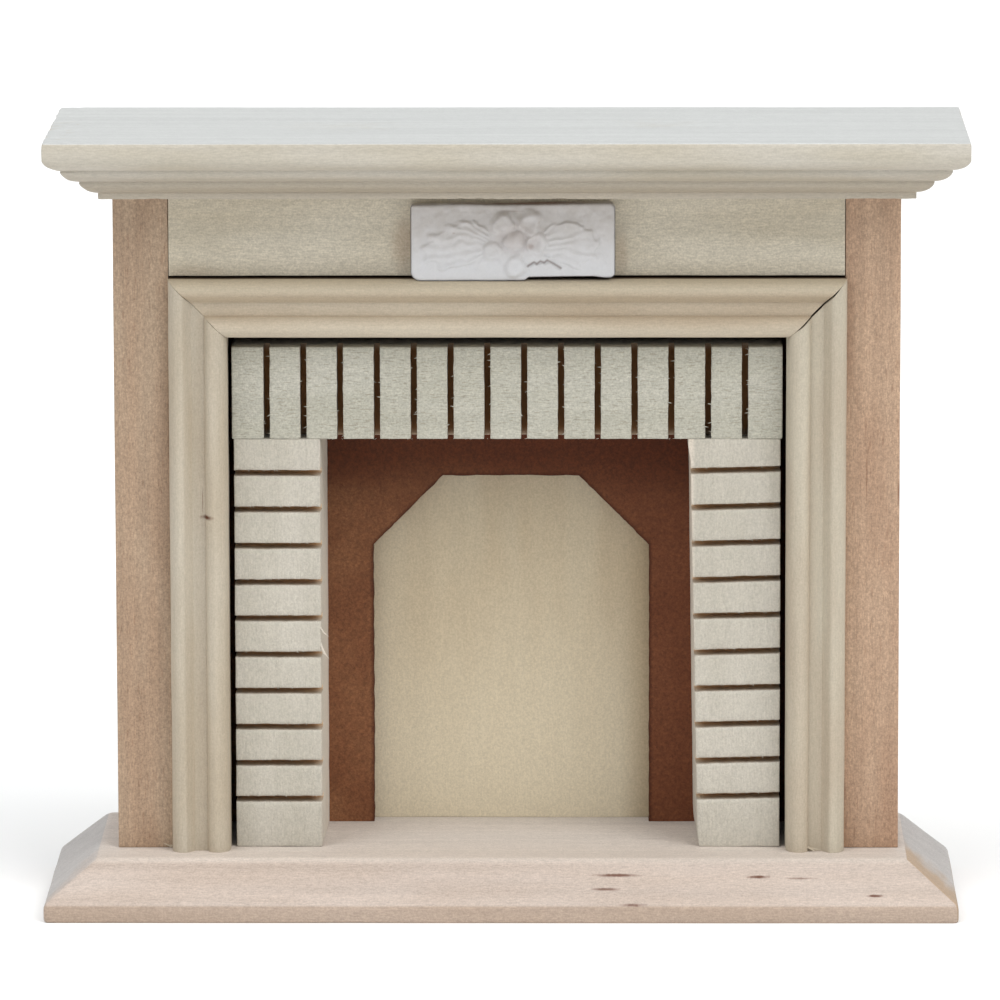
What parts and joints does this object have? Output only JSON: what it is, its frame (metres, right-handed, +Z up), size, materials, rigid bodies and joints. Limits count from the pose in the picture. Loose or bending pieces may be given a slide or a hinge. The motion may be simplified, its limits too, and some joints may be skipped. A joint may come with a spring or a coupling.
{
  "type": "miniature fireplace mantel",
  "caption": "Bare wood dolls house fireplace: routed shelf, square columns, mitred moulding, kerfed brick blocks, arched hardboard liner, bevelled hearth and a flower plaque.",
  "frame": {"origin": "middle of the footprint, on the surface that the hearth stands on", "axes": "+Z up, +X along the mantel to a viewer's right, +Y towards the wall behind it, so the fire opening faces -Y"},
  "size_m": [0.1352, 0.043, 0.1154],
  "materials": {
    "hearth_wood": "bare sanded pinkish hardwood, fine straight grain with a few dark pith flecks",
    "column_wood": "bare planed pinkish tan hardwood, upright grain with dark pore streaks",
    "frieze_wood": "bare planed pale greenish cream wood, level grain",
    "shelf_wood": "bare planed pale wood, level grain, routed edge slightly rough",
    "moulding_wood": "bare machined cream wood, grain along the length",
    "brick_wood": "bare sawn pale wood, furry at the kerf edges",
    "liner_board": "reddish brown hardboard with a fine fibre fleck",
    "back_ply": "pale veneered plywood, upright grain",
    "plaque_cast": "matt cold white cast resin"
  },
  "bodies": {
    "root": {"hearth_base": "hearth_wood", "column_left": "column_wood", "column_right": "column_wood", "frieze_panel": "frieze_wood", "mantel_shelf": "shelf_wood", "architrave_top": "moulding_wood", "architrave_left": "moulding_wood", "architrave_right": "moulding_wood", "brick_lintel": "brick_wood", "brick_jamb_left": "brick_wood", "brick_jamb_right": "brick_wood", "firebox_liner": "liner_board", "back_panel": "back_ply", "plaque": "plaque_cast"}
  },
  "joints": []
}
